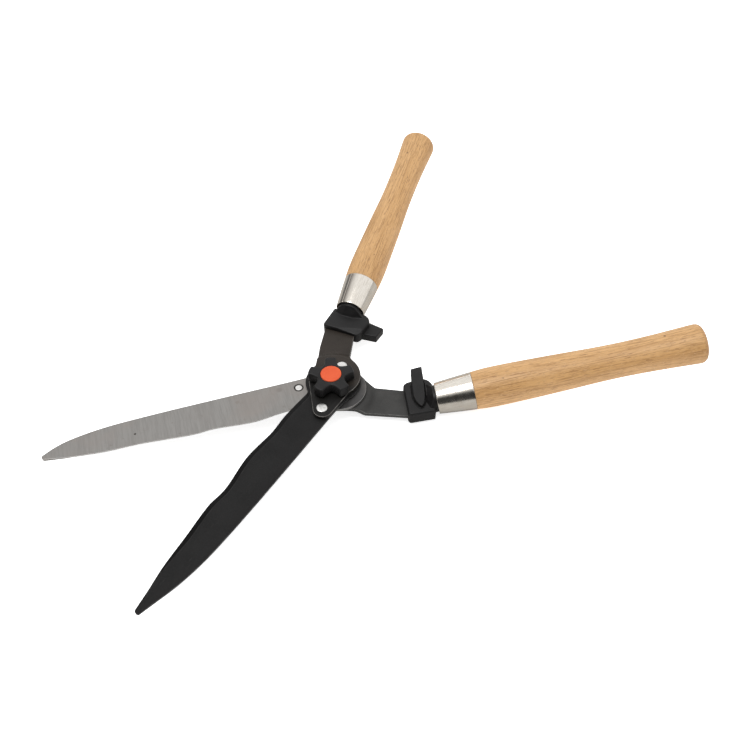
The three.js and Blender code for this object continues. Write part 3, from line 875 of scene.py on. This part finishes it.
def make_cap():
    low, top = CAP_BASE, CAP_BASE + 1.9
    bm = new_mesh()
    lathe(bm, [(0.4, low), (8.5, low), (8.8, low + 0.3), (8.9, low + 1.0), (8.88, top - 0.6), (8.7, top - 0.25),
               (8.35, top - 0.06), (8.0, top - 0.02), (7.6, top - 0.1), (7.2, top - 0.14), (4.0, top - 0.06),
               (0.4, top)], 96)
    obj = to_object(bm, "knob_cap_moulded")
    shade(obj, 40)
    settle(obj, "knob", ORANGE_PLASTIC, "knob_cap")


# ---- bumpers ----

def rounded_solid(outline, low, high, radius):
    bm = new_mesh()
    loops, _ = rounded_levels(resample(outline, 1.2), low, high, radius)
    loft(bm, loops)
    return bm


def hull(points):
    """The convex hull of points given in millimetres."""
    bm = new_mesh()
    for p in points:
        bm.verts.new(Vector(p) * MM)
    bmesh.ops.convex_hull(bm, input=bm.verts[:])
    loose = [v for v in bm.verts if not v.link_faces]
    bmesh.ops.delete(bm, geom=loose, context="VERTS")
    return bm


def shoulder(upper, rise):
    """The slope from the block's top up to the collar, lifted by the rise."""
    middle = shank_middle(upper)
    frame_of_handle = handle_frame(upper)
    ring = [tuple(frame_of_handle @ (Vector((-2.0, x, y)) * MM) / MM) for x, y in circle(COLLAR_RADIUS, 40)]
    foot = [(74, -46), (73, -38), (75, -28), (80, -18.5), (84, -26), (80.5, -44)]
    points = [(x, y, middle + z) for x, y in foot for z in (2.0, 5.9)] + ring
    return to_object(hull([(x, y, z + rise) for x, y, z in points]), "shoulder")


def prism(outline, low, high):
    bm = new_mesh()
    loft(bm, [level(resample(outline, 2.0), z) for z in (low, high)])
    return to_object(bm, "prism")


def tongue_outline(grow=0.0):
    rib = [(64.3, -30)] + quad_curve((64.3, -30), (63.8, -38), (67.4, -42.6), 6)
    rib += quad_curve((67.4, -42.6), (71, -42), (74, -33), 6) + [(79, -14), (68.4, -13)]
    return inset(rib, -grow) if grow else rib


def raise_tongue(obj, middle):
    """Carries the lower block's tongue over the shoulder, with a groove round it."""
    tongue = prism(tongue_outline(), middle, middle + 20)
    crest = shoulder(False, 0.8)
    modify(tongue, "BOOLEAN", operation="INTERSECT", solver="EXACT", object=crest)
    bpy.data.objects.remove(crest)
    join(obj, tongue)
    groove = prism(tongue_outline(0.9), middle + 5.6, middle + 22)
    cut(groove, shoulder(False, -0.9))
    cut(groove, prism(tongue_outline(), middle, middle + 24))
    cut(groove, prism([(60, -16.5), (90, -16.5), (90, 5), (60, 5)], middle, middle + 24))
    cut(obj, groove)


def slope_corner(obj, top):
    """Slopes the upper block's corner down from a crease that runs towards the peg."""
    floor = [(58.4, -33.5, top), (69.2, -10.5, top - 0.4), (58.0, -10.0, top - 3.6), (50.0, -33.0, top + 0.3)]
    tool = hull(floor + [(x, y, top + 6) for x, y, _ in floor])
    cut(obj, to_object(tool, "tool"))


def make_bumper(upper):
    """One moulding: block, peg with its tongue, and a shoulder that rises to the ferrule."""
    half = half_name(upper)
    middle = shank_middle(upper)
    lift = -PEG_LIFT if upper else PEG_LIFT
    block = [(60.5, -14.5), (55, -44)] + quad_curve((55, -44), (54.8, -46.8), (57.5, -47.2), 5)
    block += [(78, -49.4), (81.5, -42), (85.2, -26)]
    block += quad_curve((85.2, -26), (87, -14.5), (79, -11.5), 10) + [(66.5, -11.5)]
    block += quad_curve((66.5, -11.5), (62, -11.6), (60.5, -14.5), 5)[:-1]
    back = [(80, -34), (85, -16), (85.4, 0)] if upper else [(77, -34), (79.5, -14), (82.8, 0)]
    peg = [(66, -30)] + back + [(72.6, 0), (68.4, -14.5)]
    obj = to_object(rounded_solid(block, middle - BLOCK_HALF, middle + BLOCK_HALF, 1.6), "block")
    for outline in (peg, tongue_outline()):
        bar = rounded_solid(outline, middle + lift - PEG_HALF, middle + lift + PEG_HALF, 0.9)
        join(obj, to_object(bar, "peg"))
    join(obj, shoulder(upper, 0.0))
    if upper:
        slope_corner(obj, middle + BLOCK_HALF)
    else:
        raise_tongue(obj, middle)
    collar = new_mesh()
    lathe(collar, [(9, -3), (COLLAR_RADIUS, -2.6), (11.6, 3.4), (11.0, 4.0)], 64)
    collar = to_object(collar, "collar")
    collar.data.transform(handle_frame(upper) @ Matrix.Rotation(math.pi / 2, 4, "Y"))
    join(obj, collar)
    modify(obj, "REMESH", mode="VOXEL", voxel_size=0.36 * MM)
    modify(obj, "SMOOTH", factor=0.5, iterations=4)
    low = flange_base(upper) - STEP_DOWN - SLOT_GAP
    slot_tool = new_mesh()
    loft(slot_tool, [level(arm_outline(SLOT_GAP), z) for z in (low, low + ARM_THICK + 2 * SLOT_GAP)])
    cut(obj, to_object(slot_tool, "tool"))
    shade(obj, 45)
    obj.name = f"{half}_bumper_moulded"
    place(obj, upper)
    settle(obj, f"{half}_half", BLACK_PLASTIC, f"{half}_bumper")


# ---- ferrules and wooden handles, drawn along X ----

def along_x(loops):
    return [[(z, x, y) for x, y, z in loop] for loop in loops]


def make_ferrule(upper):
    """Rolled cone of thin plated steel with a lapped seam and a turned-in small end."""
    half = half_name(upper)
    segments = 160
    large = FERRULE_LARGE
    length = FERRULE_LENGTH

    def outer(s):
        return FERRULE_SMALL + (large - FERRULE_SMALL) * s / length

    profile = [(12.75, 0.55), (12.8, 0.15), (13.1, 0.0), (outer(0) - 0.15, 0.1), (outer(0) + 0.02, 0.45)]
    profile += [(outer(s) + 0.12 * math.sin(math.pi * s / length), s) for s in (1.2, 3, 6, 10, 15, 20, 25, 29, 31)]
    profile += [(outer(31.8) + 0.02, 31.9), (outer(32) - 0.12, 32.3), (outer(32) - 0.45, length),
                (large - 0.9, 32.1), (large - 1.0, 30), (14.4, 20), (13.5, 10), (12.75, 2.0)]
    seam = math.radians(118 if upper else 75)
    bm = new_mesh()
    tags, loops = [], []
    for r, s in profile:
        row, tag = [], []
        for k in range(segments):
            side = 2 * k / segments - 1
            turn = math.pi * (1 - abs(side)) ** 1.7
            a = seam + math.copysign(turn, side)
            off = turn * r
            outside = r > outer(s) - 0.6
            dip = 0.3 * math.exp(-(off / 0.4) ** 2) if outside else 0
            lap = 0.16 * math.exp(-off / 2.2) if outside and side > 0 else 0
            radius = r - dip + lap
            row.append((radius * math.cos(a), radius * math.sin(a), s))
            # Painted reflection: a dark band either side of the upper ferrule's seam stands in for a reflection of
            # dark surroundings.
            stain_and_painted_reflection = 0.5 * math.exp(-(turn / 0.34) ** 2) if upper else 0.0
            tag.append((0.0, max(stain_and_painted_reflection, 0.7 * math.exp(-(off / 0.35) ** 2)) if outside else 0.0))
        loops.append(row)
        tags.append(tag)
    loft(bm, along_x(loops), tags, closed=True)
    obj = to_object(bm, f"{half}_ferrule_rolled")
    shade(obj, 50)
    place(obj, upper, handle_frame(upper))
    settle(obj, f"{half}_half", NICKEL, f"{half}_ferrule")


def make_handle(upper):
    """Turned grip with a waist and a rounded end, very slightly uneven round and along."""
    half = half_name(upper)
    length = HANDLE_LENGTH
    start = FERRULE_LENGTH + 0.1
    grip = catmull_rom([(16.35, start), (17.2, 46), (17.1, 66), (16.3, 100), (15, 138), (14.8, 165),
                        (15.4, 190), (16.6, 214), (17, length - 6)], 110)
    profile = [(0.5, 4.6), (11.6, 4.6), (12.4, 5.0), (14.9, start - 0.3), (15.4, start), (16.1, start)] + grip[1:]
    profile += [(16.95, length - 4.6), (16.7, length - 3.4), (16.2, length - 2.3), (15.3, length - 1.3),
                (14.1, length - 0.7), (12.4, length - 0.3), (10, length - 0.12), (6, length - 0.02), (0.5, length)]
    segments = 112
    loops, tags = [], []
    phase = 1.3 if upper else 0.0
    for r, s in profile:
        row = []
        for k in range(segments):
            a = 2 * math.pi * k / segments
            uneven = 0.06 * math.sin(2 * a + phase + s * 0.012) + 0.04 * math.sin(s * 0.11 + phase)
            radius = r + uneven if s > start + 1 and r > 5 else r
            row.append((radius * math.cos(a), radius * math.sin(a), s))
        loops.append(row)
        end = min(1.0, max(0.0, (s - length + 5.5) / 4)) if s > start + 1 else 0.0
        tags.append((end, end if r < 16.9 else 0.0))
    bm = new_mesh()
    loft(bm, along_x(loops), tags)
    obj = to_object(bm, f"{half}_handle_turned")
    shade(obj, 45)
    place(obj, upper, handle_frame(upper))
    settle(obj, f"{half}_half", WOOD, f"{half}_handle")


# ---- build ----

make_blade("lower_blade_ground", LOWER_SPINE, LOWER_EDGE, False, GROUND_STEEL)
make_blade("upper_blade_ground", UPPER_SPINE, UPPER_EDGE, True, BLACK_BLADE)
make_arm(False, GREY_ARM)
make_arm(True, BROWN_ARM)
make_rivet("lower_front_rivet_set", FRONT_RIVET, False, 0.0)
make_rivet("lower_rear_rivet_set", REAR_RIVET, False, 1.0)
make_rivet("upper_front_rivet_set", FRONT_RIVET, True, 2.0)
make_rivet("upper_rear_rivet_set", REAR_RIVET, True, 3.0)
make_bolt()
make_flat_washer()
make_spring_washer()
make_knob()
make_cap()
for is_upper in (False, True):
    make_bumper(is_upper)
    make_ferrule(is_upper)
    make_handle(is_upper)

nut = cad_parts["knob_nut"]
nut.data.materials.clear()
nut.data.materials.append(BRIGHT_STEEL)


# ---- floor, light and camera ----

WORLD_STRENGTH = 1.1
PICTURE_SIZE = 750
FOCAL_PIXELS = 773.85
PIVOT_ACROSS = 331.75
PIVOT_DOWN = 387.6
VIEW_TURN = math.radians(-38.0)
VIEW_TILT = math.radians(48.87)
VIEW_DISTANCE = 0.66984
SENSOR_WIDTH = 36.0


def make_floor():
    """A faintly lit white table, greyer where the metal mirrors it."""
    bm = bmesh.new()
    bmesh.ops.create_grid(bm, x_segments=2, y_segments=2, size=6.0)
    mesh = bpy.data.meshes.new("floor")
    bm.to_mesh(mesh)
    bm.free()
    floor = bpy.data.objects.new("floor", mesh)
    floor.location.z = cad_low.z - 0.0006
    bpy.context.scene.collection.objects.link(floor)
    look = Look("floor_white", (0.93, 0.93, 0.93), 0.9, Emission_Color=(1, 1, 1, 1))
    cloud = look.ramp(look.noise((6, 6, 6), detail=2.0), 0.3, 0.7)
    tone = look.mix(cloud, (0.93, 0.93, 0.93), (0.95, 0.95, 0.95))
    mirrored = look.tree.nodes.new("ShaderNodeLightPath").outputs["Is Glossy Ray"]
    look.color(look.mix(mirrored, tone, (0.45, 0.44, 0.42)))
    look.put(look.shader.inputs["Emission Strength"], look.ramp(mirrored, 0, 1, 0.75, 0.1))
    mesh.materials.append(look.material)


def make_sun(name, toward, strength, angle):
    """A soft sun that shines from the given direction."""
    data = bpy.data.lights.new(name, "SUN")
    data.energy = strength
    data.angle = math.radians(angle)
    light = bpy.data.objects.new(name, data)
    light.rotation_euler = Vector(toward).to_track_quat("Z", "Y").to_euler()
    bpy.context.scene.collection.objects.link(light)


def world_dim(tree, direction, facing, low, high, dimmest):
    """Falls from 1 to the dimmest as the direction comes to point the facing way."""
    dot = tree.nodes.new("ShaderNodeVectorMath")
    dot.operation = "DOT_PRODUCT"
    tree.links.new(direction, dot.inputs[0])
    dot.inputs[1].default_value = facing
    ramp = tree.nodes.new("ShaderNodeMapRange")
    ramp.interpolation_type = "SMOOTHSTEP"
    for socket, number in zip(ramp.inputs[1:5], (low, high, 1.0, dimmest)):
        socket.default_value = number
    tree.links.new(dot.outputs["Value"], ramp.inputs["Value"])
    return ramp.outputs["Result"]


def world_math(tree, operation, a, b):
    node = tree.nodes.new("ShaderNodeMath")
    node.operation = operation
    tree.links.new(a, node.inputs[0])
    if isinstance(b, float):
        node.inputs[1].default_value = b
    else:
        tree.links.new(b, node.inputs[1])
    return node.outputs["Value"]


def make_world():
    """A studio that looks white, but is dark low down towards the camera's side, to the left and below."""
    world = bpy.data.worlds.new("studio")
    world.use_nodes = True
    tree = world.node_tree
    direction = tree.nodes.new("ShaderNodeTexCoord").outputs["Generated"]
    front = from_view(0, -1, 0) - from_view(0, 0, 0)
    left = from_view(-1, 0.2, 0) - from_view(0, 0, 0)
    dims = [world_dim(tree, direction, front, 0.36, 0.74, 0.03), world_dim(tree, direction, left, 0.55, 0.9, 0.25),
            world_dim(tree, direction, (0, 0, -1), -0.14, -0.02, 0.2)]
    total = world_math(tree, "MULTIPLY", world_math(tree, "MULTIPLY", dims[0], dims[1]), dims[2])
    camera_ray = tree.nodes.new("ShaderNodeLightPath").outputs["Is Camera Ray"]
    seen = world_math(tree, "MAXIMUM", total, camera_ray)
    strength = world_math(tree, "MULTIPLY", seen, WORLD_STRENGTH)
    tree.links.new(strength, tree.nodes["Background"].inputs["Strength"])
    tree.nodes["Background"].inputs["Color"].default_value = (1, 1, 1, 1)
    bpy.context.scene.world = world


def from_view(x, y, z):
    """A point given across, away from and above the pivot as the camera sees it, in metres."""
    return Matrix.Rotation(VIEW_TURN, 3, "Z") @ Vector((x, y, z)) + Vector((0, 0, MATING_PLANE * MM))


def make_camera():
    """The pivot comes at its place in the picture, seen from the given turn, tilt and distance."""
    across = (PIVOT_ACROSS - PICTURE_SIZE / 2) / FOCAL_PIXELS
    down = (PIVOT_DOWN - PICTURE_SIZE / 2) / FOCAL_PIXELS
    right = Vector((1, 0, 0))
    ahead = Vector((0, math.cos(VIEW_TILT), -math.sin(VIEW_TILT)))
    up = right.cross(ahead)
    spot = -(right * across - up * down + ahead) * VIEW_DISTANCE
    turn = Matrix.Rotation(VIEW_TURN, 3, "Z")
    basis = Matrix((turn @ right, turn @ up, -(turn @ ahead))).transposed().to_4x4()
    data = bpy.data.cameras.new("camera")
    data.sensor_width = SENSOR_WIDTH
    data.lens = SENSOR_WIDTH * (FOCAL_PIXELS / PICTURE_SIZE)
    data.clip_start = 0.01
    data.clip_end = 50.0
    camera = bpy.data.objects.new("camera", data)
    camera.matrix_world = Matrix.Translation(from_view(*spot)) @ basis
    bpy.context.scene.collection.objects.link(camera)
    bpy.context.scene.camera = camera


bpy.context.scene.view_settings.view_transform = "Standard"
make_floor()
make_world()
make_sun("key", from_view(-0.3, -0.15, 1.2) - from_view(0, 0, 0), 1.3, 30)
make_camera()
